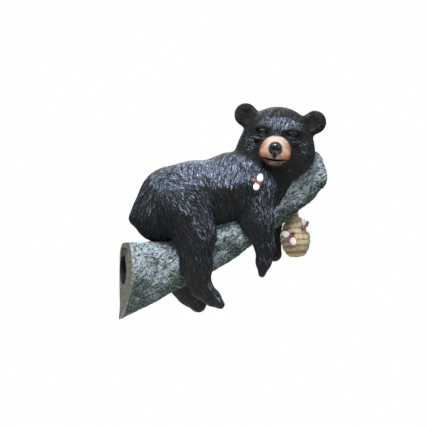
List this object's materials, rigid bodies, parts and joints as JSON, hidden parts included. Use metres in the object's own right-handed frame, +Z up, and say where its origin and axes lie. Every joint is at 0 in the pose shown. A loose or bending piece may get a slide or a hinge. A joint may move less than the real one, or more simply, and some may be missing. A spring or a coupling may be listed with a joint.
{
  "type": "bear cub on branch wall ornament",
  "caption": "Hand-painted cast black bear cub draped over a sloping cut branch with a coiled beehive and bees below, hung flat on a wall by a strap in the branch's cut end.",
  "frame": {"origin": "on the flat cut end of the branch that lies on the wall, on the solid resin just below the hanging recess", "axes": "+X straight out from the wall, along the branch's run; +Z up; the bear's near side and its face look towards -Y"},
  "size_m": [0.3691, 0.1837, 0.3796],
  "materials": {
    "painted_resin": "hand-painted black fur with blue-grey dry brushing, grey-green bark",
    "hive_resin": "straw-coloured paint with brown washed grooves",
    "bee_resin": "brown-red and tan paint, off-white wings",
    "hanger_metal": "brown lacquered steel"
  },
  "bodies": {
    "root": {"bear_and_branch": "painted_resin", "beehive": "hive_resin", "bee_on_shoulder": "bee_resin", "bee_on_hive_front": "bee_resin", "bee_on_hive_side": "bee_resin", "hanger_plate": "hanger_metal"}
  },
  "joints": []
}
